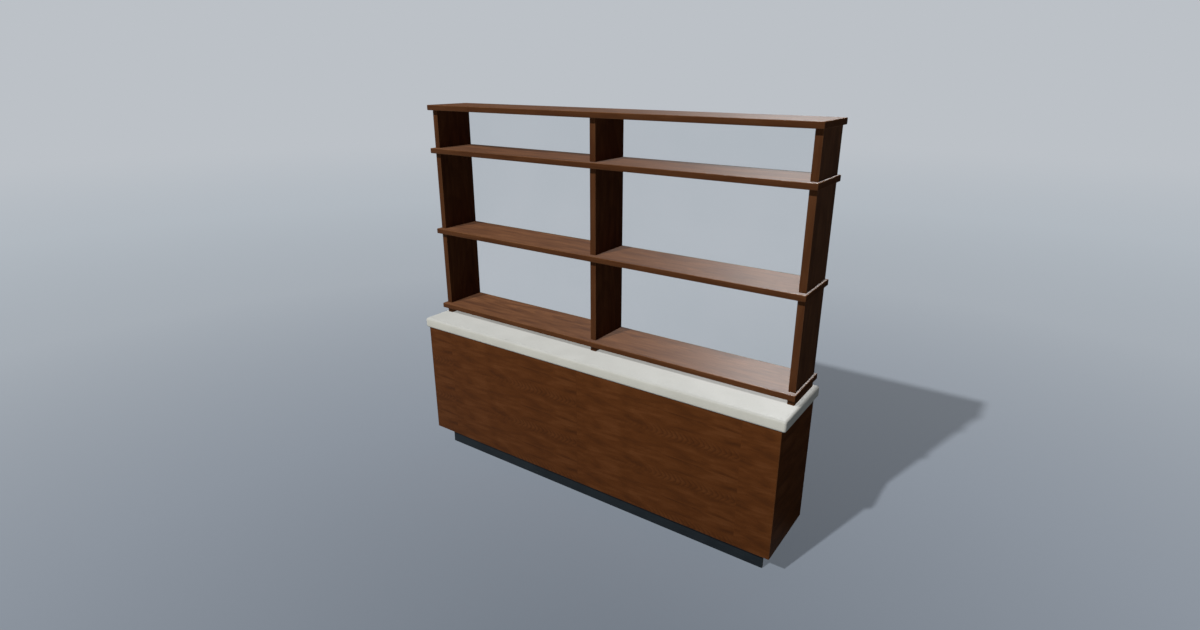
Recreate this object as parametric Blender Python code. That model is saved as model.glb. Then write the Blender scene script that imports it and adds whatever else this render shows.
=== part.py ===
"""Back bar: a plain base cabinet on a set-back plinth, a thick pale counter and a mirrored stack of shelves.

Units are metres, +Z is up and the front faces -Y. The origin is on the floor, under the counter's middle.
The shelves run past the uprights on every side, so the uprights are made in lengths, one between each pair
of boards, and three long bolts clamp the whole stack down on to the counter's core. Mirror panes on backing
boards close the back of each bay.
"""

import math

import bmesh
import bpy
from mathutils import Vector

# Clearances
GAP = 0.0003                    # between two faces that bear on each other
BORE_CLEARANCE = 0.0005         # round a bolt in its hole, on the radius
THREAD_CLEARANCE = 0.0004       # round a thread in its nut or its bearer, on the radius
RECESS_CLEARANCE = 0.0010       # round a bolt head or a nut in its recess, on the radius
FOOT_PAD_CLEARANCE = 0.020      # foot's pad to the plinth boards
PLUG_ROOM = 0.002               # bolt's end to the plug above it

# Counter: a solid-surface shell over a plywood core
COUNTER_LENGTH = 2.400
COUNTER_DEPTH = 0.465
COUNTER_HEIGHT = 0.915          # floor to the working surface
COUNTER_THICKNESS = 0.060
COUNTER_SHEET = 0.012           # the shell's top
COUNTER_EDGE_BUILD = 0.025      # the shell's thickened rim
COUNTER_EDGE_RADIUS = 0.012

# Base cabinet
CABINET_END_INSET = 0.020       # counter's end to cabinet's end
CABINET_FRONT_INSET = 0.010
CABINET_BACK_INSET = 0.010
CABINET_PANEL = 0.018
CABINET_BACK_PANEL = 0.012
CABINET_UNDERSIDE = 0.136       # floor to the underside of the cabinet
RAIL_WIDTH = 0.080
RAIL_THICKNESS = 0.020

# Plinth and its levelling feet
PLINTH_FRONT_INSET = 0.080      # cabinet's front to plinth's front
PLINTH_END_INSET = 0.060
PLINTH_BACK_INSET = 0.020
PLINTH_RETURN_INSET = 0.025     # plinth front's end to the end board behind it
PLINTH_BOARD = 0.018
BEARER_WIDTH = 0.070
BEARER_HEIGHT = 0.060
FOOT_PROJECTION = 0.003         # floor to the plinth's lower edge
FOOT_PAD_RADIUS = 0.025
FOOT_PAD_HEIGHT = 0.008
FOOT_PAD_EDGE = 0.002
FOOT_HEX_WALL = 0.0035          # stud to the spanner flats
FOOT_HEX_HEIGHT = 0.007
FOOT_STUD_RADIUS = 0.005
FOOT_STUD_END = 0.010           # stud's end to the bearer's upper face

# Shelf stack
STACK_END_INSET = 0.028         # counter's end to the outer upright's outer face
STACK_BACK_INSET = 0.028        # counter's back to the uprights' back edges
UPRIGHT_THICKNESS = 0.036
UPRIGHT_DEPTH = 0.264
UPRIGHT_EDGE = 0.0015
SHELF_THICKNESS = 0.030
SHELF_FRONT_OVERHANG = 0.033
SHELF_BACK_OVERHANG = 0.021
SHELF_END_OVERHANG = 0.011
SHELF_EDGE = 0.003
SPACER_HEIGHT = 0.037           # counter to the underside of the lowest shelf
LOWER_BAY_HEIGHT = 0.464
MIDDLE_BAY_HEIGHT = 0.464
UPPER_BAY_HEIGHT = 0.220

# Mirrors behind the bays
MIRROR_THICKNESS = 0.006
MIRROR_BACKING = 0.012
MIRROR_END_INSET = 0.010        # outer upright's outer face to the mirror's end
MIRROR_TOP_ROOM = 0.001         # mirror's upper edge to the board above it
MIRROR_JOINT = 0.001            # between two panes, behind the centre uprights

# Long bolts, with their heads under the counter's core and their nuts under plugs in the top board
BOLT_RADIUS = 0.005
BOLT_HEAD_RIM = 0.005           # head's rim past the shank
BOLT_HEAD_HEIGHT = 0.006
BOLT_HEAD_SUNK = 0.002          # core's underside to the head
BOLT_END_PAST_NUT = 0.001
NUT_WALL = 0.0035               # thread to the spanner flats
NUT_HEIGHT = 0.008
NUT_FLANGE_RIM = 0.0015         # flange past the nut's corners
NUT_FLANGE_HEIGHT = 0.002
PLUG_THICKNESS = 0.006

# Roundness of the solids
TURNED_STEPS = 16
BORE_STEPS = 12
COUNTER_EDGE_STEPS = 4
SHELF_EDGE_STEPS = 2
SMOOTH_ANGLE = math.radians(35)
MERGE_DISTANCE = 1e-6

# Heights worked out from the sizes above
COUNTER_UNDERSIDE = COUNTER_HEIGHT - COUNTER_THICKNESS
CORE_TOP = COUNTER_HEIGHT - COUNTER_SHEET - GAP
CABINET_TOP = COUNTER_UNDERSIDE - GAP
PLINTH_TOP = CABINET_UNDERSIDE - GAP
BAY_HEIGHTS = (SPACER_HEIGHT, LOWER_BAY_HEIGHT, MIDDLE_BAY_HEIGHT, UPPER_BAY_HEIGHT)
BAY_FLOORS = tuple(COUNTER_HEIGHT + sum(BAY_HEIGHTS[:tier]) + tier * SHELF_THICKNESS
                   for tier in range(len(BAY_HEIGHTS)))
BOARD_UNDERSIDES = tuple(floor + height for floor, height in zip(BAY_FLOORS, BAY_HEIGHTS))
STACK_TOP = BOARD_UNDERSIDES[-1] + SHELF_THICKNESS
HEAD_TOP = COUNTER_UNDERSIDE + BOLT_HEAD_SUNK + BOLT_HEAD_HEIGHT
BOLT_END = STACK_TOP - PLUG_THICKNESS - PLUG_ROOM
NUT_FOOT = BOLT_END - BOLT_END_PAST_NUT - NUT_HEIGHT

# Plan positions worked out from the sizes above
CABINET_HALF = COUNTER_LENGTH / 2 - CABINET_END_INSET
CABINET_FRONT = -COUNTER_DEPTH / 2 + CABINET_FRONT_INSET
CABINET_BACK = COUNTER_DEPTH / 2 - CABINET_BACK_INSET
INSIDE_HALF = CABINET_HALF - CABINET_PANEL
INSIDE_FRONT = CABINET_FRONT + CABINET_PANEL
INSIDE_BACK = CABINET_BACK - CABINET_BACK_PANEL
PLINTH_HALF = CABINET_HALF - PLINTH_END_INSET
PLINTH_RETURN = PLINTH_HALF - PLINTH_RETURN_INSET
PLINTH_FRONT = CABINET_FRONT + PLINTH_FRONT_INSET
PLINTH_BACK = CABINET_BACK - PLINTH_BACK_INSET
STACK_HALF = COUNTER_LENGTH / 2 - STACK_END_INSET
UPRIGHT_BACK = COUNTER_DEPTH / 2 - STACK_BACK_INSET
UPRIGHT_FRONT = UPRIGHT_BACK - UPRIGHT_DEPTH
SHELF_HALF = STACK_HALF + SHELF_END_OVERHANG
SHELF_FRONT = UPRIGHT_FRONT - SHELF_FRONT_OVERHANG
SHELF_BACK = UPRIGHT_BACK + SHELF_BACK_OVERHANG
MIRROR_HALF = STACK_HALF - MIRROR_END_INSET

# Names of repeated pieces, with the side of the middle that each lies on
ENDS = {"left": -1, "right": 1}
ROWS = {"left": -1, "centre": 0, "right": 1}
TIERS = ("spacer", "upright_lower", "upright_middle", "upright_upper")
BOARDS = ("shelf_lower", "shelf_middle", "shelf_upper", "top_board")
MIRROR_TIERS = ("lower", "middle", "upper")     # the spacers' tier has no mirror


def clear_scene():
    for old in list(bpy.data.objects):
        bpy.data.objects.remove(old)


def finish_of(name, colour, roughness, metallic=0.0):
    """A plain material. The colour is linear red, green and blue."""
    material = bpy.data.materials.new(name)
    material.use_nodes = True
    shader = material.node_tree.nodes["Principled BSDF"]
    shader.inputs["Base Color"].default_value = (*colour, 1.0)
    shader.inputs["Roughness"].default_value = roughness
    shader.inputs["Metallic"].default_value = metallic
    return material


def add_object(name, shape, material, place):
    """Turns a finished bmesh into an object under the back bar's own empty, with its origin at place."""
    mesh = bpy.data.meshes.new(name)
    shape.to_mesh(mesh)
    shape.free()
    if material is not None:
        mesh.materials.append(material)
    made = bpy.data.objects.new(name, mesh)
    bpy.context.scene.collection.objects.link(made)
    made.location = place
    made.parent = bpy.data.objects["back_bar"]
    return made


def board(name, low, high, material, edge=0.0, steps=1):
    """A board between two corners, with all its edges eased where an edge size is given."""
    low, high = Vector(low), Vector(high)
    shape = bmesh.new()
    bmesh.ops.create_cube(shape, size=1.0)
    bmesh.ops.scale(shape, vec=high - low, verts=shape.verts)
    made = add_object(name, shape, material, (low + high) / 2)
    if edge:
        ease = made.modifiers.new("eased_edges", "BEVEL")
        ease.width = edge
        ease.segments = steps
        ease.limit_method = "NONE"
    return made


def upright_panel(name, plan, low_z, high_z, material):
    """A panel that stands on the outline given by points in x and y."""
    shape = bmesh.new()
    outline = shape.faces.new([shape.verts.new((x, y, low_z)) for x, y in plan])
    raised = bmesh.ops.extrude_face_region(shape, geom=[outline])
    lifted = [item for item in raised["geom"] if isinstance(item, bmesh.types.BMVert)]
    bmesh.ops.translate(shape, vec=(0, 0, high_z - low_z), verts=lifted)
    bmesh.ops.recalc_face_normals(shape, faces=shape.faces)
    return add_object(name, shape, material, (0, 0, 0))


def turned(name, profile, axis, material):
    """A solid of revolution on an upright axis. The profile is radius and height, from the bottom up."""
    shape = bmesh.new()
    points = [shape.verts.new((radius, 0, height)) for radius, height in profile]
    edges = [shape.edges.new(pair) for pair in zip(points, points[1:])]
    bmesh.ops.spin(shape, geom=points + edges, axis=(0, 0, 1), cent=(0, 0, 0), angle=2 * math.pi,
                   steps=TURNED_STEPS, use_merge=True)
    bmesh.ops.remove_doubles(shape, verts=shape.verts, dist=MERGE_DISTANCE)
    bmesh.ops.recalc_face_normals(shape, faces=shape.faces)
    made = add_object(name, shape, material, (*axis, 0))
    made.data.shade_smooth()
    made.data.set_sharp_from_angle(angle=SMOOTH_ANGLE)
    return made


def prism(name, radius, low_z, high_z, axis, material, sides):
    """A regular prism on an upright axis, from low_z to high_z. The radius reaches its corners."""
    shape = bmesh.new()
    bmesh.ops.create_cone(shape, cap_ends=True, segments=sides, radius1=radius, radius2=radius,
                          depth=high_z - low_z)
    return add_object(name, shape, material, (*axis, (low_z + high_z) / 2))


def hide(helper):
    helper.hide_render = True
    helper.display_type = "WIRE"


def join(piece, helper):
    """Makes a hidden helper's shape part of the piece."""
    hide(helper)
    joined = piece.modifiers.new("join_" + helper.name, "BOOLEAN")
    joined.operation = "UNION"
    joined.object = helper


def cutter_group(name, cutters):
    """A hidden collection of cutters that are taken away from a piece together."""
    group = bpy.data.collections.new(name)
    bpy.context.scene.collection.children.link(group)
    group.hide_render = True
    for cutter in cutters:
        bpy.context.scene.collection.objects.unlink(cutter)
        group.objects.link(cutter)
        hide(cutter)
    return group


def cut(piece, group):
    """Takes every cutter of the group away from the piece."""
    taken = piece.modifiers.new("cut_" + group.name, "BOOLEAN")
    taken.operation = "DIFFERENCE"
    taken.operand_type = "COLLECTION"
    taken.collection = group


def upright_centre(side):
    return side * (STACK_HALF - UPRIGHT_THICKNESS / 2)


def bolt_axes():
    """Each long bolt's name and its axis in plan, through the middle of a row of uprights."""
    return {row: (upright_centre(side), (UPRIGHT_FRONT + UPRIGHT_BACK) / 2) for row, side in ROWS.items()}


def bearer_centre(side):
    """The outer bearers stand off the plinth's ends, so that neither they nor the feet's pads touch."""
    reach = max(BEARER_WIDTH / 2 + GAP, FOOT_PAD_RADIUS + FOOT_PAD_CLEARANCE)
    return side * (PLINTH_RETURN - PLINTH_BOARD - reach)


def foot_axes():
    """Each levelling foot's name and its axis in plan, two to a bearer."""
    inset = PLINTH_BOARD + FOOT_PAD_CLEARANCE + FOOT_PAD_RADIUS
    rows = {"front": PLINTH_FRONT + inset, "back": PLINTH_BACK - inset}
    return {f"{row}_{place}": (bearer_centre(side), y)
            for row, side in ROWS.items() for place, y in rows.items()}


def drill_group(name, radius, low_z, high_z, axes):
    """Round cutters of one size on all the axes given."""
    return cutter_group(name, [prism(f"{name}_{place}", radius, low_z, high_z, axis, None, BORE_STEPS)
                               for place, axis in axes.items()])


def nut_corner():
    return (BOLT_RADIUS + NUT_WALL) * 2 / math.sqrt(3)


def nut_recess_radius():
    return nut_corner() + NUT_FLANGE_RIM + RECESS_CLEARANCE


def build_plinth(laminate, timber):
    """Four boards round three cross bearers, which are drilled for the feet."""
    inner_front = PLINTH_FRONT + PLINTH_BOARD
    inner_back = PLINTH_BACK - PLINTH_BOARD
    board("plinth_front", (-PLINTH_HALF, PLINTH_FRONT, FOOT_PROJECTION),
          (PLINTH_HALF, inner_front, PLINTH_TOP), laminate)
    board("plinth_back", (-PLINTH_HALF, inner_back, FOOT_PROJECTION),
          (PLINTH_HALF, PLINTH_BACK, PLINTH_TOP), laminate)
    for end, side in ENDS.items():
        near, far = sorted((side * PLINTH_RETURN, side * (PLINTH_RETURN - PLINTH_BOARD)))
        board(f"plinth_{end}_end", (near, inner_front + GAP, FOOT_PROJECTION),
              (far, inner_back - GAP, PLINTH_TOP), laminate)

    underside = PLINTH_TOP - BEARER_HEIGHT
    holes = drill_group("foot_hole", FOOT_STUD_RADIUS + THREAD_CLEARANCE, underside - BEARER_HEIGHT,
                        PLINTH_TOP + BEARER_HEIGHT, foot_axes())
    for row, side in ROWS.items():
        x = bearer_centre(side)
        bearer = board(f"plinth_bearer_{row}", (x - BEARER_WIDTH / 2, inner_front + GAP, underside),
                       (x + BEARER_WIDTH / 2, inner_back - GAP, PLINTH_TOP), timber)
        cut(bearer, holes)


def build_feet(nylon):
    """Six screw feet: a round pad, a hexagon for the spanner and a stud that turns in its bearer."""
    hex_top = FOOT_PAD_HEIGHT + FOOT_HEX_HEIGHT
    hex_corner = (FOOT_STUD_RADIUS + FOOT_HEX_WALL) * 2 / math.sqrt(3)
    stud_end = PLINTH_TOP - FOOT_STUD_END
    profile = [(0, 0), (FOOT_PAD_RADIUS - FOOT_PAD_EDGE, 0), (FOOT_PAD_RADIUS, FOOT_PAD_EDGE),
               (FOOT_PAD_RADIUS, FOOT_PAD_HEIGHT - FOOT_PAD_EDGE),
               (FOOT_PAD_RADIUS - FOOT_PAD_EDGE, FOOT_PAD_HEIGHT),
               (FOOT_STUD_RADIUS, FOOT_PAD_HEIGHT), (FOOT_STUD_RADIUS, stud_end), (0, stud_end)]
    for place, axis in foot_axes().items():
        foot = turned(f"levelling_foot_{place}", profile, axis, nylon)
        join(foot, prism(f"foot_hexagon_{place}", hex_corner, FOOT_PAD_HEIGHT / 2, hex_top, axis, None, 6))


def build_cabinet(veneer, carcass):
    """A closed box: front and ends mitred together, with the back, bottom, rails and partitions let in."""
    mitre = GAP * math.sqrt(2)
    upright_panel("cabinet_front",
                  [(mitre - CABINET_HALF, CABINET_FRONT), (CABINET_HALF - mitre, CABINET_FRONT),
                   (INSIDE_HALF - mitre, INSIDE_FRONT), (mitre - INSIDE_HALF, INSIDE_FRONT)],
                  CABINET_UNDERSIDE, CABINET_TOP, veneer)
    end_plan = [(CABINET_HALF, CABINET_FRONT), (CABINET_HALF, CABINET_BACK),
                (INSIDE_HALF, CABINET_BACK), (INSIDE_HALF, INSIDE_FRONT)]
    for end, side in ENDS.items():
        upright_panel(f"cabinet_{end}_end", [(side * x, y) for x, y in end_plan],
                      CABINET_UNDERSIDE, CABINET_TOP, veneer)

    half, front, back = INSIDE_HALF - GAP, INSIDE_FRONT + GAP, INSIDE_BACK - GAP
    bottom_top = CABINET_UNDERSIDE + CABINET_PANEL
    rail_underside = CABINET_TOP - RAIL_THICKNESS
    board("cabinet_back", (-half, INSIDE_BACK, CABINET_UNDERSIDE), (half, CABINET_BACK, CABINET_TOP), veneer)
    board("cabinet_bottom", (-half, front, CABINET_UNDERSIDE), (half, back, bottom_top), carcass)
    board("cabinet_front_rail", (-half, front, rail_underside),
          (half, front + RAIL_WIDTH, CABINET_TOP), carcass)
    board("cabinet_back_rail", (-half, back - RAIL_WIDTH, rail_underside), (half, back, CABINET_TOP), carcass)
    for end, side in ENDS.items():
        x = side * INSIDE_HALF / 3      # three equal spans under the counter
        board(f"cabinet_partition_{end}", (x - CABINET_PANEL / 2, front, bottom_top + GAP),
              (x + CABINET_PANEL / 2, back, rail_underside - GAP), carcass)


def build_counter(solid_surface, plywood, bores):
    """The core, with a recess under it for each bolt head, and the shell that fits over it."""
    half = COUNTER_LENGTH / 2 - COUNTER_EDGE_BUILD
    depth = COUNTER_DEPTH / 2 - COUNTER_EDGE_BUILD
    core = board("counter_core", (GAP - half, GAP - depth, COUNTER_UNDERSIDE),
                 (half - GAP, depth - GAP, CORE_TOP), plywood)
    cut(core, bores)
    cut(core, drill_group("head_recess", BOLT_RADIUS + BOLT_HEAD_RIM + RECESS_CLEARANCE,
                          COUNTER_UNDERSIDE - BOLT_HEAD_HEIGHT, HEAD_TOP + GAP, bolt_axes()))

    shell = board("counter_shell", (-COUNTER_LENGTH / 2, -COUNTER_DEPTH / 2, COUNTER_UNDERSIDE),
                  (COUNTER_LENGTH / 2, COUNTER_DEPTH / 2, COUNTER_HEIGHT), solid_surface,
                  COUNTER_EDGE_RADIUS, COUNTER_EDGE_STEPS)
    pocket = board("core_pocket", (-half, -depth, COUNTER_UNDERSIDE - COUNTER_THICKNESS),
                   (half, depth, COUNTER_HEIGHT - COUNTER_SHEET), None)
    cut(shell, cutter_group("core_pockets", [pocket]))
    cut(shell, bores)


def build_stack(walnut, bores):
    """Spacers, uprights and boards from the counter up, all drilled for the long bolts."""
    for tier, floor, height in zip(TIERS, BAY_FLOORS, BAY_HEIGHTS):
        for row, side in ROWS.items():
            x = upright_centre(side)
            length = board(f"{tier}_{row}", (x - UPRIGHT_THICKNESS / 2, UPRIGHT_FRONT, floor + GAP),
                           (x + UPRIGHT_THICKNESS / 2, UPRIGHT_BACK, floor + height - GAP),
                           walnut, UPRIGHT_EDGE)
            cut(length, bores)
    for name, underside in zip(BOARDS, BOARD_UNDERSIDES):
        shelf = board(name, (-SHELF_HALF, SHELF_FRONT, underside),
                      (SHELF_HALF, SHELF_BACK, underside + SHELF_THICKNESS),
                      walnut, SHELF_EDGE, SHELF_EDGE_STEPS)
        cut(shelf, bores)
    nut_recesses = drill_group("nut_recess", nut_recess_radius(), NUT_FOOT - GAP,
                               STACK_TOP + PLUG_THICKNESS, bolt_axes())
    cut(bpy.data.objects["top_board"], nut_recesses)


def build_mirrors(silvered_glass, carcass):
    """Two panes and their backing board behind each row of bays, standing on the board below."""
    pane_front = UPRIGHT_BACK + GAP
    pane_back = pane_front + MIRROR_THICKNESS
    backing_front = pane_back + GAP
    for tier, floor, height in zip(MIRROR_TIERS, BAY_FLOORS[1:], BAY_HEIGHTS[1:]):
        low, high = floor + GAP, floor + height - MIRROR_TOP_ROOM
        board(f"mirror_backing_{tier}", (-MIRROR_HALF, backing_front, low),
              (MIRROR_HALF, backing_front + MIRROR_BACKING, high), carcass)
        for end, side in ENDS.items():
            near, far = sorted((side * MIRROR_JOINT / 2, side * MIRROR_HALF))
            board(f"mirror_{tier}_{end}", (near, pane_front, low), (far, pane_back, high), silvered_glass)


def build_bolts(steel, walnut):
    """Each bolt, its flanged nut in the top board and the plug that hides the nut."""
    head_radius = BOLT_RADIUS + BOLT_HEAD_RIM
    head_foot = HEAD_TOP - BOLT_HEAD_HEIGHT
    profile = [(0, head_foot), (head_radius, head_foot), (head_radius, HEAD_TOP),
               (BOLT_RADIUS, HEAD_TOP), (BOLT_RADIUS, BOLT_END), (0, BOLT_END)]
    axes = bolt_axes()
    threads = drill_group("nut_thread", BOLT_RADIUS + THREAD_CLEARANCE, NUT_FOOT - NUT_HEIGHT,
                          NUT_FOOT + 2 * NUT_HEIGHT, axes)
    for place, axis in axes.items():
        turned(f"tie_bolt_{place}", profile, axis, steel)
        nut = prism(f"tie_nut_{place}", nut_corner(), NUT_FOOT, NUT_FOOT + NUT_HEIGHT, axis, steel, 6)
        join(nut, prism(f"nut_flange_{place}", nut_corner() + NUT_FLANGE_RIM, NUT_FOOT,
                        NUT_FOOT + NUT_FLANGE_HEIGHT, axis, None, BORE_STEPS))
        cut(nut, threads)
        prism(f"top_plug_{place}", nut_recess_radius() - GAP, STACK_TOP - PLUG_THICKNESS, STACK_TOP,
              axis, walnut, BORE_STEPS)


def main():
    clear_scene()
    bpy.context.scene.collection.objects.link(bpy.data.objects.new("back_bar", None))

    walnut = finish_of("walnut_solid", (0.100, 0.042, 0.019), 0.40)
    veneer = finish_of("walnut_veneer", (0.089, 0.028, 0.008), 0.45)
    carcass = finish_of("carcass_board", (0.055, 0.040, 0.032), 0.55)
    plywood = finish_of("birch_plywood", (0.55, 0.38, 0.21), 0.65)
    timber = finish_of("softwood", (0.60, 0.42, 0.24), 0.70)
    solid_surface = finish_of("solid_surface", (0.56, 0.56, 0.52), 0.50)
    laminate = finish_of("plinth_laminate", (0.014, 0.021, 0.027), 0.50)
    silvered_glass = finish_of("etched_silvered_glass", (0.80, 0.84, 0.86), 0.16, metallic=1.0)
    steel = finish_of("zinc_plated_steel", (0.58, 0.58, 0.56), 0.32, metallic=1.0)
    nylon = finish_of("black_nylon", (0.012, 0.012, 0.013), 0.55)

    bores = drill_group("bolt_bore", BOLT_RADIUS + BORE_CLEARANCE, COUNTER_UNDERSIDE - SHELF_THICKNESS,
                        STACK_TOP + SHELF_THICKNESS, bolt_axes())
    build_plinth(laminate, timber)
    build_feet(nylon)
    build_cabinet(veneer, carcass)
    build_counter(solid_surface, plywood, bores)
    build_stack(walnut, bores)
    build_mirrors(silvered_glass, carcass)
    build_bolts(steel, walnut)


main()
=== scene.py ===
import math

import bpy
import numpy as np
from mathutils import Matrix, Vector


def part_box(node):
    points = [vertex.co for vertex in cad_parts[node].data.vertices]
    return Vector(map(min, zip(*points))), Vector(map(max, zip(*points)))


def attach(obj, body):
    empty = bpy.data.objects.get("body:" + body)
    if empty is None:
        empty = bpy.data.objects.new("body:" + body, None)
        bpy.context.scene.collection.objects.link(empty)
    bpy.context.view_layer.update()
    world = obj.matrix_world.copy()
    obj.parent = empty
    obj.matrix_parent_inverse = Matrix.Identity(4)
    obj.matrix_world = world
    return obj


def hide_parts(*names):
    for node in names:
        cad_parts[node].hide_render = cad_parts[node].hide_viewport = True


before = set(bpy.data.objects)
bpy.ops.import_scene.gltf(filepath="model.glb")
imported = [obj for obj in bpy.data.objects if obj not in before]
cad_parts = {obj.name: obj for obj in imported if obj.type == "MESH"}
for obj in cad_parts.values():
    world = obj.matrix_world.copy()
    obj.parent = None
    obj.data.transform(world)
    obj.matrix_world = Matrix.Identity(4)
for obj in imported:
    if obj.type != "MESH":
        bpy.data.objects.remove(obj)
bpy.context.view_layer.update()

millimetre = 0.001
noiseMiddle = 0.5                       # noise swings about this value


def linearColour(hexText):
    # sRGB hex to linear red, green, blue and an alpha of 1
    channels = np.array([int(hexText[i:i + 2], 16) for i in (1, 3, 5)]) / 255
    linear = np.where(channels <= 0.04045, channels / 12.92, ((channels + 0.055) / 1.055) ** 2.4)
    return (*linear.tolist(), 1.0)


def perMetre(*sizes):
    # how often a pattern comes in a metre along each axis, from its sizes in millimetres
    return tuple(1 / (size * millimetre) for size in sizes)


def addNode(owner, kind, inputs=None, stops=None, **settings):
    # One shader node of a kind, with its settings and colour stops. An input takes a value, a hex colour, a
    # socket, or a node, whose first output in use is linked.
    node = owner.node_tree.nodes.new("ShaderNode" + kind)
    for name, value in settings.items():
        setattr(node, name, value)
    if stops:
        ramp = node.color_ramp.elements
        while len(ramp) < len(stops):
            ramp.new(0.5)
        for element, (position, tone) in zip(ramp, stops):
            element.position = position
            element.color = linearColour(tone) if isinstance(tone, str) else (tone, tone, tone, 1)
    for socket, value in (inputs or {}).items():
        if isinstance(value, bpy.types.Node):
            value = next(output for output in value.outputs if output.enabled)
        if isinstance(value, bpy.types.NodeSocket):
            owner.node_tree.links.new(value, node.inputs[socket])
        else:
            node.inputs[socket].default_value = linearColour(value) if isinstance(value, str) else value
    return node


def newMaterial(name):
    material = bpy.data.materials.new(name)
    material.use_nodes = True
    material.node_tree.nodes.clear()
    return material


def finishMaterial(material, inputs):
    # the surface shader with its inputs, and the output that shows it
    shader = addNode(material, "BsdfPrincipled", inputs)
    addNode(material, "OutputMaterial", {"Surface": shader})
    return material


# Camera: placed and turned as the photograph's was, fitted to the cabinet, counter and board edges
cameraLook = {
    "place": (2.0729, -2.9534, 2.4215),
    "yaw": math.radians(34.99),         # to the left of +Y
    "pitch": math.radians(-19.91),
    "focalPixels": 680.10,              # on a frame 1200 pixels wide
    "frameWidth": 1200,
    "sensor": 36.0,
    "sight": 200.0,                     # metres, past the far side of the floor
}


def makeCamera(look):
    data = bpy.data.cameras.new("camera")
    data.sensor_fit = "HORIZONTAL"
    data.sensor_width = look["sensor"]
    data.lens = look["focalPixels"] / look["frameWidth"] * look["sensor"]
    data.clip_end = look["sight"]
    camera = bpy.data.objects.new("camera", data)
    camera.location = look["place"]
    camera.rotation_euler = (math.pi / 2 + look["pitch"], 0, look["yaw"])
    bpy.context.scene.collection.objects.link(camera)
    bpy.context.scene.camera = camera


makeCamera(cameraLook)
print("camera: lens", round(bpy.context.scene.camera.data.lens, 3), "mm")


# Wood. Every board carries attributes of its own: "grain" holds metres along the grain, across it and
# through the board, "edge" rises to 1 in the middle of an eased edge, and "sides" is 1 on the narrow sides
# and 0 on the faces; it sets how far they are painted darker as painted shade, and how much duller they are.
woodLook = {                            # what both woods share
    "blotchReach": 0.29,                # from the middle of the noise to the dark and the pale tone
    "blotchNoise": {"Detail": 2.0, "Distortion": 0.4},
    "streakNoise": {"Detail": 4.0},
    "streakTones": [(0.30, 0.84), (0.60, 1.0)],
    "poreNoise": {"Detail": 1.0},
    "poreScale": perMetre(34, 1.4, 1.4),        # real pores are 0.2 mm wide, drawn coarser
    "poreStart": 0.58, "poreEnd": 0.72, "poreDepth": 0.7, "poreDullness": 0.14,
    "noiseRoughness": 0.6, "wanderDetail": 2.0,
    "lateWood": [(0.0, 0.0), (0.40, 0.1), (0.82, 1.0), (0.92, 1.0), (1.0, 0.0)],    # along one ring
    "ringRelief": 0.4, "reliefStrength": 0.2, "reliefDepth": 0.2 * millimetre,
    "lacquerIor": 1.5,
}
walnutLook = {
    **woodLook,
    "pale": "#775034", "middle": "#634028", "dark": "#44291B", "wornEdge": "#86603F",
    "blotchScale": perMetre(260, 34, 34),
    "streakScale": perMetre(420, 9, 9), "streakDepth": 0.8,
    "ringWidth": 7 * millimetre,        # real rings are 2 to 4 mm, drawn wider so that they show
    "ringDepth": 0.38,
    "wanderScale": (1.5, 8, 8),         # bends in a metre of the board
    "wander": (0, 14 * millimetre, 14 * millimetre),
    "heart": (0, 0, 60 * millimetre),   # from the middle of the board to the pith
    "heartTilt": (0, math.radians(2.2), 0),     # of the pith against the board, which draws the arches out
    "aroundHeart": (0, 1, 1),           # the two axes that lie across the grain
    "paintedShade": "#442612", "edgePaintedShade": 0.65,      # painted shade: narrow edges are painted darker than faces, and stay duller
    "roughness": 0.385, "gloss": 0.09, "edgeGloss": 0.02,
}
veneerLook = {
    **woodLook,
    "pale": "#633B1F", "middle": "#542F15", "dark": "#3E2210", "wornEdge": "#734A2B",
    "blotchScale": perMetre(190, 46, 46),
    "streakScale": perMetre(130, 5, 5), "streakDepth": 0.5,
    "leafLength": 987 * millimetre,     # leaves are laid end to end from the middle of the front
    "leafWidth": 254 * millimetre,
    "leafTone": 0.16,                   # how far one leaf differs from the next
    "jointWidth": 1.6 * millimetre,     # a real joint is a hair line, drawn wider so that it shows
    "jointDepth": 0.5,
    "archStep": 30 * millimetre,        # from one arch to the next along the leaf
    "archSlope": 1.15,                  # how far an arch falls back along the leaf for its width
    "archRound": 6 * millimetre,        # radius of an arch's tip
    "archReach": 42 * millimetre,       # half the height over which arches show
    "archCore": 12.6 * millimetre,      # half the height over which they show fully
    "archStart": 0.15, "archFull": 0.7,         # shares of the leaf's length between which they grow
    "archLeast": 0.1,                   # share of them that is left at the leaf's first end
    "wanderScale": (12, 18, 18), "archWander": 28 * millimetre,
    "ringDepth": 0.62,
    "roughness": 0.48, "gloss": 0.02,
}


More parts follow.
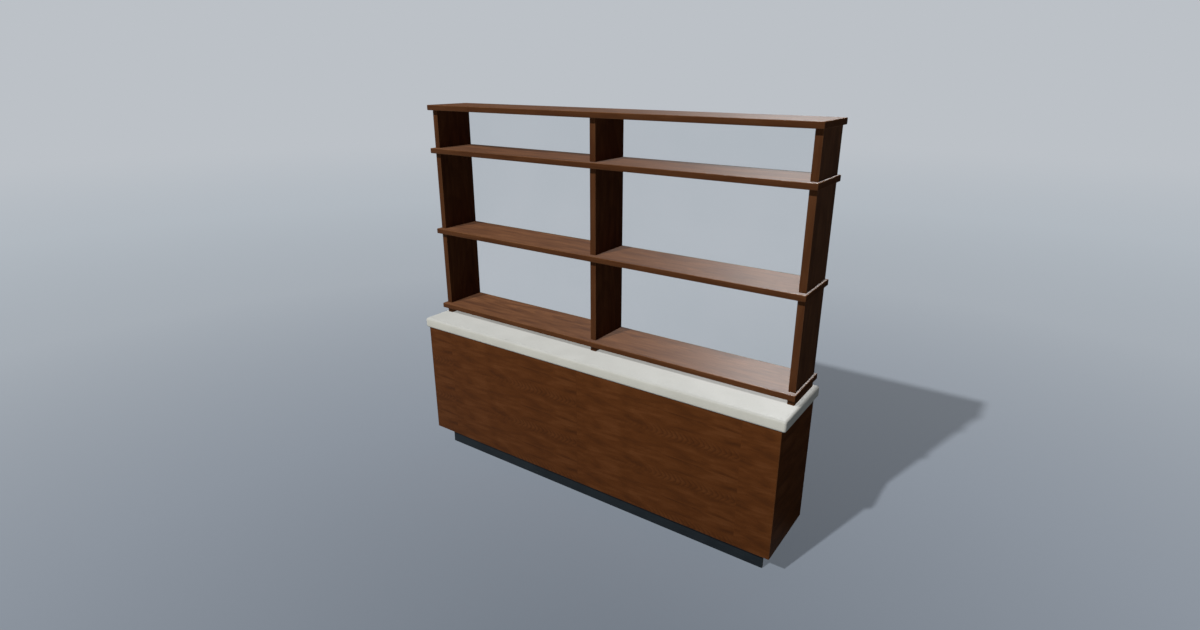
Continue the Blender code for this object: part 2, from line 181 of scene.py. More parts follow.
def woodFinish(material, look, grain, ring, ringShare, joints=()):
    # Noise drawn out along the grain makes blotches, streaks and pores; late wood darkens towards the end
    # of each ring. Eased edges are worn paler, pores stay duller than the lacquer, and rings lift it a hair.
    noise = {}
    for kind in ("blotch", "streak", "pore"):
        drawnOut = addNode(material, "Mapping", {"Vector": grain, "Scale": look[kind + "Scale"]})
        noise[kind] = addNode(material, "TexNoise", {
            "Vector": drawnOut, "Scale": 1.0, "Roughness": look["noiseRoughness"], **look[kind + "Noise"]})
    reach = look["blotchReach"]
    ground = addNode(material, "ValToRGB", {"Fac": noise["blotch"]}, stops=[
        (noiseMiddle - reach, look["dark"]), (noiseMiddle, look["middle"]),
        (noiseMiddle + reach, look["pale"])])
    streak = addNode(material, "ValToRGB", {"Fac": noise["streak"]}, stops=look["streakTones"])
    colour = addNode(material, "Mix", {"Factor": look["streakDepth"], "A": ground, "B": streak},
                     data_type="RGBA", blend_type="MULTIPLY")
    lateWood = addNode(material, "ValToRGB", {"Fac": ring}, stops=look["lateWood"])
    ringed = addNode(material, "Math", {0: lateWood, 1: ringShare}, operation="MULTIPLY")
    pores = addNode(material, "MapRange", {
        "Value": noise["pore"], "From Min": look["poreStart"], "From Max": look["poreEnd"],
        "To Max": look["poreDepth"]})
    edge = addNode(material, "Attribute", attribute_name="edge").outputs["Fac"]
    wear = addNode(material, "Math", {0: edge, 1: noise["streak"]}, operation="MULTIPLY")
    coats = [(share, "dark") for share in (ringed, pores, *joints)] + [(wear, "wornEdge")]
    gloss = look["gloss"]
    # painted shade: narrow sides, and the faces of uprights by their share, are mixed towards a darker tone
    if "paintedShade" in look:
        sides = addNode(material, "Attribute", attribute_name="sides").outputs["Fac"]
        paintedShadeShare = addNode(material, "Math", {0: sides, 1: look["edgePaintedShade"]}, operation="MULTIPLY")
        coats.append((paintedShadeShare, "paintedShade"))
        gloss = addNode(material, "MapRange", {
            "Value": sides, "To Min": look["gloss"], "To Max": look["edgeGloss"]})
    for share, tone in coats:           # each lies over the ones before it
        colour = addNode(material, "Mix", {
            "Factor": share, "A": colour, "B": look[tone]}, data_type="RGBA")
    dull = addNode(material, "MapRange", {
        "Value": pores, "To Min": look["roughness"], "To Max": look["roughness"] + look["poreDullness"]})
    relief = addNode(material, "Math", {0: ringed, 1: look["ringRelief"], 2: pores},
                     operation="MULTIPLY_ADD")
    bump = addNode(material, "Bump", {
        "Height": relief, "Strength": look["reliefStrength"], "Distance": look["reliefDepth"]}, invert=True)
    return finishMaterial(material, {
        "Base Color": colour, "Roughness": dull, "Normal": bump, "IOR": look["lacquerIor"],
        "Specular IOR Level": gloss})


def treeRings(material, look, place):
    # Rings are cylinders round a pith that lies at a slant beside the board: the distance to the pith, bent
    # by a slow noise, over the width of a ring, less the whole rings. It rises from 0 to 1 over each ring.
    slow = addNode(material, "Mapping", {"Vector": place, "Scale": look["wanderScale"]})
    wander = addNode(material, "TexNoise", {
        "Vector": slow, "Scale": 1.0, "Detail": look["wanderDetail"]})
    bent = addNode(material, "VectorMath", {
        0: wander.outputs["Color"], 1: look["wander"], 2: place}, operation="MULTIPLY_ADD")
    slanted = addNode(material, "Mapping", {
        "Vector": bent, "Location": look["heart"], "Rotation": look["heartTilt"]})
    flattened = addNode(material, "VectorMath", {0: slanted, 1: look["aroundHeart"]},
                        operation="MULTIPLY")
    radius = addNode(material, "VectorMath", {0: flattened}, operation="LENGTH")
    count = addNode(material, "Math", {0: radius, 1: 1 / look["ringWidth"]}, operation="MULTIPLY")
    return addNode(material, "Math", {0: count}, operation="FRACT")


def makeWalnut(look):
    # Solid walnut, planed, stained dark and lacquered to a satin: faces show long arches, edges show lines
    # and ends show arcs
    material = newMaterial("walnut_planed_and_lacquered")
    grain = addNode(material, "Attribute", attribute_name="grain").outputs["Vector"]
    return woodFinish(material, look, grain, treeRings(material, look, grain), look["ringDepth"])


def makeVeneer(look):
    # Crown-cut walnut veneer, slip matched: every leaf shows the same row of arches, and the joints just
    # show. An arch is where along + slope * sqrt(across^2 + round^2) keeps one value; arches fade away from
    # the heart line and towards the leaf's first end.
    material = newMaterial("walnut_veneer_crown_cut_and_lacquered")
    grain = addNode(material, "Attribute", attribute_name="grain")
    place = addNode(material, "SeparateXYZ", {0: grain.outputs["Vector"]}).outputs
    length, halfWidth = look["leafLength"], look["leafWidth"] / 2
    along = addNode(material, "Math", {0: place["X"], 1: length, 2: 0.0}, operation="WRAP")
    across = addNode(material, "Math", {0: place["Y"], 1: halfWidth, 2: -halfWidth}, operation="WRAP")
    leafStart = addNode(material, "Math", {0: place["X"], 1: along}, operation="SUBTRACT")
    leaf = addNode(material, "CombineXYZ", {"X": along, "Y": across, "Z": place["Z"]})
    slow = addNode(material, "Mapping", {"Vector": leaf, "Scale": look["wanderScale"]})
    wander = addNode(material, "TexNoise", {
        "Vector": slow, "Scale": 1.0, "Detail": look["wanderDetail"]})
    eitherWay = addNode(material, "VectorMath", {
        0: wander.outputs["Color"], 1: (noiseMiddle,) * 3}, operation="SUBTRACT")
    bent = addNode(material, "VectorMath", {0: eitherWay, 1: (look["archWander"],) * 3, 2: leaf},
                   operation="MULTIPLY_ADD")
    bentPlace = addNode(material, "SeparateXYZ", {0: bent}).outputs
    squared = addNode(material, "Math", {
        0: bentPlace["Y"], 1: bentPlace["Y"], 2: look["archRound"] ** 2}, operation="MULTIPLY_ADD")
    spread = addNode(material, "Math", {0: squared}, operation="SQRT")
    arch = addNode(material, "Math", {0: spread, 1: look["archSlope"], 2: bentPlace["X"]},
                   operation="MULTIPLY_ADD")
    count = addNode(material, "Math", {0: arch, 1: 1 / look["archStep"]}, operation="MULTIPLY")
    ring = addNode(material, "Math", {0: count}, operation="FRACT")
    nearHeart = addNode(material, "MapRange", {
        "Value": spread, "From Min": look["archCore"], "From Max": look["archReach"],
        "To Min": look["ringDepth"], "To Max": 0.0}, interpolation_type="SMOOTHSTEP")
    nearEnd = addNode(material, "MapRange", {
        "Value": along, "From Min": look["archStart"] * length, "From Max": look["archFull"] * length,
        "To Min": look["archLeast"], "To Max": 1.0}, interpolation_type="SMOOTHSTEP")
    ringShare = addNode(material, "Math", {0: nearHeart, 1: nearEnd}, operation="MULTIPLY")

    # a joint is where the nearer of the leaf's end and its side is less than the joint's width away
    fromEnd = addNode(material, "Math", {0: place["X"], 1: length}, operation="PINGPONG")
    fromHeart = addNode(material, "Math", {0: across}, operation="ABSOLUTE")
    fromSide = addNode(material, "Math", {0: halfWidth, 1: fromHeart}, operation="SUBTRACT")
    nearest = addNode(material, "Math", {0: fromEnd, 1: fromSide}, operation="MINIMUM")
    jointLine = addNode(material, "MapRange", {
        "Value": nearest, "From Min": 0.0, "From Max": look["jointWidth"],
        "To Min": look["jointDepth"], "To Max": 0.0})
    leafTone = addNode(material, "TexWhiteNoise", {"W": leafStart}, noise_dimensions="1D")
    darker = addNode(material, "Math", {0: leafTone, 1: look["leafTone"], 2: jointLine},
                     operation="MULTIPLY_ADD")
    return woodFinish(material, look, leaf, ring, ringShare, [darker])


def surfaceGrain(material, look, pattern):
    # a fine pattern turns the roughness from one value to another and, with a relief, lifts the surface
    smooth, rough = look["roughness"]
    satin = addNode(material, "MapRange", {"Value": pattern, "To Min": smooth, "To Max": rough})
    if "relief" not in look:
        return {"Roughness": satin}
    strength, depth = look["relief"]
    bump = addNode(material, "Bump", {"Height": pattern, "Strength": strength, "Distance": depth},
                   invert=look.get("hollow", False))
    return {"Roughness": satin, "Normal": bump}


# Counter: cast acrylic sheet filled with ground mineral, sanded to a soft satin, with faint flecks, and
# painted shade that darkens its top face
solidSurfaceLook = {
    "tones": [(0.35, "#C4C2B7"), (0.65, "#BEBCB1")],
    "cloudSize": 180 * millimetre, "cloudDetail": 3.0,
    "flecks": {"Red": (0.86, "#CECEC6"), "Green": (0.88, "#A8A89E")},   # shown where this channel is higher
    "fleckSize": 3.5 * millimetre,      # real flecks are 0.5 mm, drawn coarser so that they show
    "fleckEdge": (0.22, 0.34),
    "topShadeTint": "#E5E8F0",                   # painted shade: tint that darkens and cools the top face against the rim
    "sandingSize": 1.5 * millimetre,    # the real grit is 0.1 mm, drawn coarser
    "sandingDetail": 2.0,
    "roughness": (0.40, 0.52), "relief": (0.05, 0.1 * millimetre),
    "ior": 1.5, "gloss": 0.07,
}


def makeSolidSurface(look):
    material = newMaterial("solid_surface_cast_and_sanded")
    place = addNode(material, "TexCoord").outputs["Object"]
    cloud = addNode(material, "TexNoise", {
        "Vector": place, "Scale": 1 / look["cloudSize"], "Detail": look["cloudDetail"]})
    colour = addNode(material, "ValToRGB", {"Fac": cloud}, stops=look["tones"])
    fleck = addNode(material, "TexVoronoi", {"Vector": place, "Scale": 1 / look["fleckSize"]})
    pick = addNode(material, "SeparateColor", {0: fleck.outputs["Color"]})
    inFleck = addNode(material, "MapRange", {
        "Value": fleck, "From Min": look["fleckEdge"][0], "From Max": look["fleckEdge"][1],
        "To Min": 1.0, "To Max": 0.0})
    for channel, (least, tone) in look["flecks"].items():
        picked = addNode(material, "Math", {0: pick.outputs[channel], 1: least},
                         operation="GREATER_THAN")
        share = addNode(material, "Math", {0: inFleck, 1: picked}, operation="MULTIPLY")
        colour = addNode(material, "Mix", {"Factor": share, "A": colour, "B": tone}, data_type="RGBA")
    # painted shade: the top face is multiplied by a darker, cooler tint, fading out over the rounded edge
    paintedTopShade = addNode(material, "Attribute", attribute_name="paintedTopShade").outputs["Fac"]
    colour = addNode(material, "Mix", {"Factor": paintedTopShade, "A": colour, "B": look["topShadeTint"]},
                     data_type="RGBA", blend_type="MULTIPLY")
    sanding = addNode(material, "TexNoise", {
        "Vector": place, "Scale": 1 / look["sandingSize"], "Detail": look["sandingDetail"]})
    return finishMaterial(material, {
        "Base Color": colour, "IOR": look["ior"], "Specular IOR Level": look["gloss"],
        **surfaceGrain(material, look, sanding)})


# Plinth: pressed laminate in dark slate, with a fine pebble and pale scuffs near the floor
laminateLook = {
    "tones": [(0.3, "#191E22"), (0.7, "#1E2428")],
    "cloudSize": 111.1 * millimetre, "noiseDetail": 3.0,
    "scuff": "#42484E", "scuffScale": perMetre(90, 90, 4),
    "scuffStart": 0.63, "scuffEnd": 0.72, "scuffDepth": 0.5,
    "scuffHeight": 70 * millimetre,     # above the floor, where they end
    "pebbleSize": 2.5 * millimetre,     # the real pebble is 0.6 mm, drawn coarser so that it shows
    "roughness": (0.44, 0.62), "relief": (0.25, 0.15 * millimetre), "hollow": True,
    "ior": 1.5, "gloss": 0.08,
}


def makeLaminate(look):
    material = newMaterial("laminate_pressed")
    place = addNode(material, "TexCoord").outputs["Object"]
    cloud = addNode(material, "TexNoise", {
        "Vector": place, "Scale": 1 / look["cloudSize"], "Detail": look["noiseDetail"]})
    ground = addNode(material, "ValToRGB", {"Fac": cloud}, stops=look["tones"])
    drawnOut = addNode(material, "Mapping", {"Vector": place, "Scale": look["scuffScale"]})
    scuff = addNode(material, "TexNoise", {
        "Vector": drawnOut, "Scale": 1.0, "Detail": look["noiseDetail"]})
    mark = addNode(material, "MapRange", {
        "Value": scuff, "From Min": look["scuffStart"], "From Max": look["scuffEnd"],
        "To Max": look["scuffDepth"]})
    height = addNode(material, "SeparateXYZ", {0: place})
    low = addNode(material, "MapRange", {
        "Value": height.outputs["Z"], "From Max": look["scuffHeight"], "To Min": 1.0, "To Max": 0.0})
    share = addNode(material, "Math", {0: mark, 1: low}, operation="MULTIPLY")
    colour = addNode(material, "Mix", {
        "Factor": share, "A": ground, "B": look["scuff"]}, data_type="RGBA")
    pebble = addNode(material, "TexVoronoi", {"Vector": place, "Scale": 1 / look["pebbleSize"]},
                     feature="SMOOTH_F1")
    return finishMaterial(material, {
        "Base Color": colour, "IOR": look["ior"], "Specular IOR Level": look["gloss"],
        **surfaceGrain(material, look, pebble)})


# Mottled materials: a noise is given by how often it comes in a metre and by its detail. The first turns one
# tone into the other, and the last turns the roughness and lifts the surface.
mirrorLook = {      # silvered float glass, acid-etched to a satin: gives back pale light and no clear image
    "name": "mirror_silvered_and_etched",
    "tones": [(0.35, "#F2F4F6"), (0.65, "#EFF2F4")],
    "noises": [(perMetre(420, 420, 420), 2.0),
               (perMetre(4, 4, 4), 2.0)],       # the real etch is far finer, drawn coarser so that it shows
    "roughness": (0.12, 0.20), "shader": {"Metallic": 1.0},
}
glassEdgeLook = {   # a pane's ground edge: dull green glass with the wheel's fine marks
    "name": "glass_edge_ground",
    "tones": [(0.3, "#8FA89E"), (0.7, "#A9BDB4")],
    "noises": [(perMetre(25, 1.111, 25), 2.0)],     # real marks are 0.1 mm wide, drawn coarser
    "shader": {"Roughness": 0.45, "IOR": 1.52},
}
carcassLook = {     # chipboard faced with dark melamine paper, a dull even brown with a printed fleck
    "name": "carcass_board_melamine_faced",
    "tones": [(0.38, "#40352F"), (0.66, "#4D4038")],
    "noises": [(perMetre(24, 2.5, 2.5), 3.0),
               (perMetre(3, 3, 3), 2.0)],       # the real pebble is 0.5 mm, drawn coarser
    "roughness": (0.44, 0.60), "relief": (0.12, 0.15 * millimetre), "shader": {"IOR": 1.5},
}
zincLook = {        # zinc plate on rolled steel: blue-grey and bright, with the plating's soft clouding
    "name": "steel_zinc_plated",
    "tones": [(0.35, "#A5AAAC"), (0.65, "#C9CCCB")],
    "noises": [(perMetre(5, 5, 5), 4.0)],
    "roughness": (0.42, 0.22), "shader": {"Metallic": 1.0},
}
nylonLook = {       # moulded black nylon, with the mould's fine spark texture
    "name": "nylon_moulded",
    "tones": [(0.35, "#1B1B1D"), (0.65, "#242426")],
    "noises": [(perMetre(0.8, 0.8, 0.8), 2.0)],     # real sparks are 0.1 mm, drawn coarser
    "roughness": (0.42, 0.58), "relief": (0.15, 0.05 * millimetre), "shader": {"IOR": 1.53},
}


def makeMottled(look):
    material = newMaterial(look["name"])
    place = addNode(material, "TexCoord").outputs["Object"]
    noises = []
    for scale, detail in look["noises"]:
        drawnOut = addNode(material, "Mapping", {"Vector": place, "Scale": scale})
        noises.append(addNode(material, "TexNoise", {
            "Vector": drawnOut, "Scale": 1.0, "Detail": detail}))
    colour = addNode(material, "ValToRGB", {"Fac": noises[0]}, stops=look["tones"])
    grain = surfaceGrain(material, look, noises[-1]) if "roughness" in look else {}
    return finishMaterial(material, {"Base Color": colour, **look["shader"], **grain})


# Plywood: birch veneers glued crosswise, sanded and left raw, so edges show pale and brown lines in turn
plywoodLook = {
    "tones": [(0.1, "#D9BF95"), (0.6, "#B08E62")],
    "ply": 1.4 * millimetre,
    "grainScale": perMetre(333, 3, 1.4), "grainDetail": 3.0,
    "roughness": 0.68,
}


def makePlywood(look):
    material = newMaterial("plywood_birch_sanded")
    place = addNode(material, "TexCoord").outputs["Object"]
    height = addNode(material, "SeparateXYZ", {0: place})
    plies = addNode(material, "Math", {0: height.outputs["Z"], 1: look["ply"]}, operation="PINGPONG")
    share = addNode(material, "Math", {0: plies, 1: 1 / look["ply"]}, operation="MULTIPLY")
    drawnOut = addNode(material, "Mapping", {"Vector": place, "Scale": look["grainScale"]})
    grain = addNode(material, "TexNoise", {
        "Vector": drawnOut, "Scale": 1.0, "Detail": look["grainDetail"]})
    tone = addNode(material, "Math", {0: share, 1: grain}, operation="MULTIPLY")
    colour = addNode(material, "ValToRGB", {"Fac": tone}, stops=look["tones"])
    return finishMaterial(material, {"Base Color": colour, "Roughness": look["roughness"]})


# Softwood: planed pine bearers, grain along Y, broad pale rings with brown late wood
softwoodLook = {
    "tones": [(0.0, "#D8B983"), (0.55, "#D8B983"), (0.9, "#A97A46"), (1.0, "#D8B983")],
    "ringWidth": 7 * millimetre,
    "wanderScale": perMetre(50, 250, 50), "wanderDetail": 2.0,
    "wander": (20 * millimetre, 0, 20 * millimetre),
    "heart": (20 * millimetre, 0, 90 * millimetre),
    "heartTilt": (math.radians(4), 0, 0),
    "aroundHeart": (1, 0, 1),
    "roughness": 0.7, "reliefStrength": 0.1, "reliefDepth": 0.2 * millimetre,
}


def makeSoftwood(look):
    material = newMaterial("softwood_planed")
    place = addNode(material, "TexCoord").outputs["Object"]
    ring = treeRings(material, look, place)
    colour = addNode(material, "ValToRGB", {"Fac": ring}, stops=look["tones"])
    bump = addNode(material, "Bump", {
        "Height": ring, "Strength": look["reliefStrength"], "Distance": look["reliefDepth"]})
    return finishMaterial(material, {"Base Color": colour, "Roughness": look["roughness"], "Normal": bump})


walnut = makeWalnut(walnutLook)
veneer = makeVeneer(veneerLook)
solidSurface = makeSolidSurface(solidSurfaceLook)
laminate = makeLaminate(laminateLook)
mirrorSilver = makeMottled(mirrorLook)
glassEdge = makeMottled(glassEdgeLook)
carcass = makeMottled(carcassLook)
plywood = makePlywood(plywoodLook)
softwood = makeSoftwood(softwoodLook)
zinc = makeMottled(zincLook)
nylon = makeMottled(nylonLook)
print("materials:", len(bpy.data.materials))

# Surfaces. Each is a grid of points, rings by steps round, closed round and capped at both ends.
leastRadius = 0.05 * millimetre
clearance = 0.3 * millimetre            # between one CAD piece and the next


def boxOf(node):
    low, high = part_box(node)
    return np.array(low), np.array(high)


def middleOf(node):
    low, high = boxOf(node)
    return (low + high) / 2


def rectangle(low, high):
    return np.array([(low[0], low[1]), (high[0], low[1]), (high[0], high[1]), (low[0], high[1])])


def outlineRings(corners, cornerRadius, insets, arcSteps):
    # A convex outline, anticlockwise seen from above, moved inwards by each inset. A corner moves along the
    # sum of its two inward normals over one plus their dot product. An arc rounds it, whose radius is the
    # corner radius less the inset.
    insets = np.asarray(insets)
    edges = np.roll(corners, -1, 0) - corners
    edges /= np.linalg.norm(edges, axis=1, keepdims=True)
    nextNormal = np.stack([-edges[:, 1], edges[:, 0]], 1)
    lastNormal = np.roll(nextNormal, 1, 0)
    bisector = (nextNormal + lastNormal) / (1 + (nextNormal * lastNormal).sum(1, keepdims=True))
    radius = np.maximum(cornerRadius - insets, leastRadius)
    centres = corners + (insets + radius)[:, None, None] * bisector
    start = np.arctan2(-lastNormal[:, 1], -lastNormal[:, 0])
    turn = np.mod(np.arctan2(-nextNormal[:, 1], -nextNormal[:, 0]) - start, 2 * np.pi)
    angles = start[:, None] + turn[:, None] * np.linspace(0, 1, arcSteps + 1)
    arcs = np.stack([np.cos(angles), np.sin(angles)], -1)
    rings = centres[:, :, None, :] + radius[:, None, None, None] * arcs
    return rings.reshape(len(insets), -1, 2)


def easedSection(low, high, radius, steps):
    # Inset and height of each ring from the lower face to the upper: a quarter circle at both edges, where
    # inset is r(1 - sin a) and rise r(1 - cos a), and one more ring inside it on each flat face.
    turn = np.linspace(0, np.pi / 2, steps + 1)
    inset = radius * (1 - np.sin(turn))
    rise = radius * (1 - np.cos(turn))
    insets = np.concatenate([[2 * radius], inset, inset[::-1], [2 * radius]])
    heights = np.concatenate([[low], low + rise, high - rise[::-1], [high]])
    bend = np.concatenate([[0], np.sin(2 * turn), np.sin(2 * turn), [0]])
    return insets, heights, bend


def meshPiece(node, grid, materials, shares=None, grain=None, sideSlot=0, body="back_bar",
              looped=False, sharpAngle=None):
    # puts a grid of points into a mesh: quads between the rings, then a flat cap at both ends, or more quads
    # from the last ring to the first
    rings, steps = grid.shape[:2]
    bands = np.arange(rings if looped else rings - 1)[:, None] * steps
    here = bands + np.arange(steps)
    beside = bands + (np.arange(steps) + 1) % steps
    quads = np.stack([here, beside, beside + steps, here + steps], -1).reshape(-1, 4) % (rings * steps)
    caps = [] if looped else [list(range(steps))[::-1], list(range((rings - 1) * steps, rings * steps))]
    mesh = bpy.data.meshes.new(node + "_surface")
    mesh.from_pydata(grid.reshape(-1, 3).tolist(), [], quads.tolist() + caps)
    for material in materials:
        mesh.materials.append(material)
    if sideSlot:
        slots = np.zeros(len(mesh.polygons), np.int32)
        slots[:len(quads)] = sideSlot
        mesh.polygons.foreach_set("material_index", slots)
    for label, values in (shares or {}).items():
        attribute = mesh.attributes.new(label, "FLOAT", "POINT")
        attribute.data.foreach_set("value", np.asarray(values, np.float32).ravel())
    if grain is not None:
        attribute = mesh.attributes.new("grain", "FLOAT_VECTOR", "POINT")
        attribute.data.foreach_set("vector", np.asarray(grain, np.float32).ravel())
    mesh.shade_smooth()
    mesh.validate()
    if sharpAngle:
        mesh.set_sharp_from_angle(angle=sharpAngle)
    piece = bpy.data.objects.new(node + "_surface", mesh)
    bpy.context.scene.collection.objects.link(piece)
    piece.visible_glossy = False        # etched panes and satin boards give back the studio, not each other
    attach(piece, body)
    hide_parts(node)
    return piece


def boardPiece(node, materials, radius, lie=None, corners=None, steps=4, sideSlot=0, order=(0, 1, 2),
               facePaintedShade=0.0):
    # a board in the place of a node, every edge eased by the same radius; its outline lies in the first two
    # axes of the order and is carried along the third; its faces take a share of the edges' painted shade
    low, high = (corner[list(order)] for corner in boxOf(node))
    if corners is None:
        corners = rectangle(low, high)
    insets, heights, bend = easedSection(low[2], high[2], radius, steps)
    outline = outlineRings(corners, radius, insets, steps)
    grid = np.empty(outline.shape[:2] + (3,))
    grid[..., order[:2]] = outline
    grid[..., order[2]] = heights[:, None]
    cornerBend = np.tile(np.sin(np.linspace(0, np.pi, steps + 1)), len(corners))
    # share of painted shade: 1 on the narrow sides, falling over the eased edge to the faces' share
    paintedShadeShare = np.clip(1 - insets / radius, facePaintedShade, 1)
    shares = {"edge": np.maximum(bend[:, None], cornerBend[None, :] * (insets < radius)[:, None]),
              "sides": np.broadcast_to(paintedShadeShare[:, None], outline.shape[:2])}
    grain = None
    if lie:
        axes, origin, shift = lie
        grain = grid[..., axes] - np.asarray(origin)[list(axes)] + np.asarray(shift)
    return meshPiece(node, grid, materials, shares, grain, sideSlot)


# axes along the grain, across it and through the board
flatAlongX, uprightAlongX, uprightAlongY, uprightAlongZ = (0, 1, 2), (0, 2, 1), (1, 2, 0), (2, 1, 0)

# Boards of the stack: each is its own plank, so each reads its own part of the tree
stackLook = {
    "shelfEdge": 3.5 * millimetre,
    "uprightEdge": 2.0 * millimetre,
    "uprightOrder": (1, 2, 0),          # the outline is seen from the side and carried along X
    "uprightPaintedShade": 0.55,               # share of the edges' painted shade that darkens the faces of the uprights
    "treeStep": 2.9,                    # metres along the tree from one plank to the next
    "shelfAside": 60 * millimetre,      # from the heart to the middle of a shelf
    "uprightAside": 50 * millimetre,
}


def treeShift(number, aside):
    # planks come from either side of the heart in turn, which leans their arches left and right
    return (number * stackLook["treeStep"], aside if number % 2 else -aside, 0)


rows = ("left", "centre", "right")
tiers = ("lower", "middle", "upper")
shelves = ("shelf_lower", "shelf_middle", "shelf_upper", "top_board")
uprights = [f"upright_{tier}_{row}" for tier in tiers for row in rows] + [f"spacer_{row}" for row in rows]
for number, node in enumerate(shelves):
    boardPiece(node, [walnut], stackLook["shelfEdge"],
               (flatAlongX, middleOf(node), treeShift(number, stackLook["shelfAside"])))
for number, node in enumerate(uprights, len(shelves)):
    boardPiece(node, [walnut], stackLook["uprightEdge"],
               (uprightAlongZ, middleOf(node), treeShift(number, stackLook["uprightAside"])),
               order=stackLook["uprightOrder"], facePaintedShade=stackLook["uprightPaintedShade"])
print("stack:", len(shelves) + len(uprights), "boards")

# Cabinet: veneered panels. Front and ends are mitred, so their inner corners lie in by a board's thickness.
cabinetLook = {
    "edge": 1.0 * millimetre,
    "heartHeight": 650 * millimetre,    # of the arches' middle line, above the floor
    "panels": {     # how the grain lies, metres to the first leaf, and each corner's move in thicknesses
        "cabinet_front": (uprightAlongX, 0.0, [(0, 0), (0, 0), (-1, 0), (1, 0)]),
        "cabinet_left_end": (uprightAlongY, 0.45, [(0, 0), (0, 1), (0, 0), (0, 0)]),
        "cabinet_right_end": (uprightAlongY, 0.45, [(0, 1), (0, 0), (0, 0), (0, 0)]),
        "cabinet_back": (uprightAlongX, 0.3, [(0, 0)] * 4),
    },
}


def cabinetPanels(look):
    endLow, endHigh = boxOf("cabinet_right_end")
    thickness = endHigh[0] - endLow[0]
    for node, (axes, leafShift, moves) in look["panels"].items():
        plan = rectangle(*boxOf(node)) + np.array(moves) * thickness
        boardPiece(node, [veneer], look["edge"],
                   (axes, (0, 0, look["heartHeight"]), (leafShift, 0, 0)), plan)


cabinetPanels(cabinetLook)
plinthLook = {
    "edge": 0.8 * millimetre,
    "boards": ("plinth_front", "plinth_back", "plinth_left_end", "plinth_right_end"),
}
for node in plinthLook["boards"]:
    boardPiece(node, [laminate], plinthLook["edge"])
print("cabinet and plinth:", len(cabinetLook["panels"]) + len(plinthLook["boards"]), "panels")

# Counter: one shell, its top and rim 12 mm round at the edges, with a pocket below for the core
counterLook = {
    "edge": 12 * millimetre, "edgeSteps": 8,
    "pocketCorner": 1 * millimetre,
    "sharpAngle": math.radians(50),
}


def counterShell(look):
    # the section runs from the pocket's ceiling down its wall, out under the rim, up the outside and over
    low, high = boxOf("counter_shell")
    coreLow, coreHigh = boxOf("counter_core")
    rim = coreLow[0] - low[0] - clearance
    ceiling = coreHigh[2] + clearance
    radius, steps = look["edge"], look["edgeSteps"]
    insets, heights = easedSection(low[2], high[2], radius, steps)[:2]
    corners = rectangle(low, high)
    outside = outlineRings(corners, radius, insets[1:], steps)
    pocket = outlineRings(corners, look["pocketCorner"] + rim, [rim + radius, rim, rim], steps)
    outline = np.concatenate([pocket, outside])
    rises = np.concatenate([[ceiling, ceiling, low[2]], heights[1:]])
    grid = np.concatenate([outline, np.broadcast_to(rises[:, None, None], outline.shape[:2] + (1,))], -1)
    # share of painted shade: 1 on the top face, falling to 0 over the rounded edge
    paintedTopShade = np.clip((grid[..., 2] - high[2]) / radius + 1, 0, 1)
    meshPiece("counter_shell", grid, [solidSurface], {"paintedTopShade": paintedTopShade},
              sharpAngle=look["sharpAngle"])


counterShell(counterLook)
print("counter: shell over its core")

# Mirrors: etched panes with ground edges, on backing boards; their outline stands up and is carried back
mirrorBuild = {
    "arris": 0.8 * millimetre, "backingEdge": 0.8 * millimetre, "edgeSteps": 2,
    "order": (2, 0, 1),
}
for tier in tiers:
    for end in ("left", "right"):
        pane = boardPiece(f"mirror_{tier}_{end}", [mirrorSilver, glassEdge], mirrorBuild["arris"],
                          steps=mirrorBuild["edgeSteps"], sideSlot=1, order=mirrorBuild["order"])
        pane.visible_diffuse = False    # so that the pale studio in the panes doesn't light the boards
    boardPiece(f"mirror_backing_{tier}", [carcass], mirrorBuild["backingEdge"],
               steps=mirrorBuild["edgeSteps"])
print("mirrors: 6 panes on 3 backing boards")

# Inner boards of the cabinet and the counter
innerLook = {
    "edge": 0.5 * millimetre, "edgeSteps": 2,
    "boards": {
        "carcass_board": (carcass, ["cabinet_bottom", "cabinet_partition_left", "cabinet_partition_right",
                                    "cabinet_front_rail", "cabinet_back_rail"]),
        "plywood": (plywood, ["counter_core"]),
    },
}
for slot, (material, nodes) in innerLook["boards"].items():
    for node in nodes:
        boardPiece(node, [material], innerLook["edge"], steps=innerLook["edgeSteps"])
    print("inner boards:", len(nodes), "of", slot)

# Fasteners and feet are turned pieces: a radius for each height and each step round
threadLook = {"pitch": 1.5 * millimetre, "threadDepth": 0.8 * millimetre, "ringsPerPitch": 6}
footLook = {
    **threadLook,
    "padRadius": 25 * millimetre, "padHeight": 8 * millimetre,
    "padEdge": 1.5 * millimetre, "padEdgeSteps": 4,
    "flat": 8.5 * millimetre,           # from the axis to a spanner flat
    "seat": 0.5 * millimetre,           # width of the flat ring round the hexagon
    "hexagonTop": 15 * millimetre, "chamfer": 1.0 * millimetre,
    "stud": 5 * millimetre, "studGap": 0.1 * millimetre,
}
boltLook = {
    **threadLook,
    "head": 10 * millimetre, "headHeight": 6 * millimetre, "headEdge": 0.8 * millimetre,
    "shank": 5 * millimetre, "threadLength": 60 * millimetre,
}
nutLook = {
    "flange": 11.3 * millimetre, "flangeHeight": 2 * millimetre, "flangeEdge": 0.4 * millimetre,
    "flat": 8.5 * millimetre, "chamfer": 0.8 * millimetre,
    "bore": 5.4 * millimetre, "boreEdge": 0.4 * millimetre,
}
plugLook = {
    "edge": 0.5 * millimetre, "crown": 0.25 * millimetre,
    "crownShares": np.linspace(1, 0.05, 6),     # of the radius, from the edge to near the middle
    "treeNumber": 20, "aside": 20 * millimetre,
}
roundSteps = 36
turnAngles = np.linspace(0, 2 * np.pi, roundSteps, endpoint=False)
turnedSharpAngle = math.radians(35)


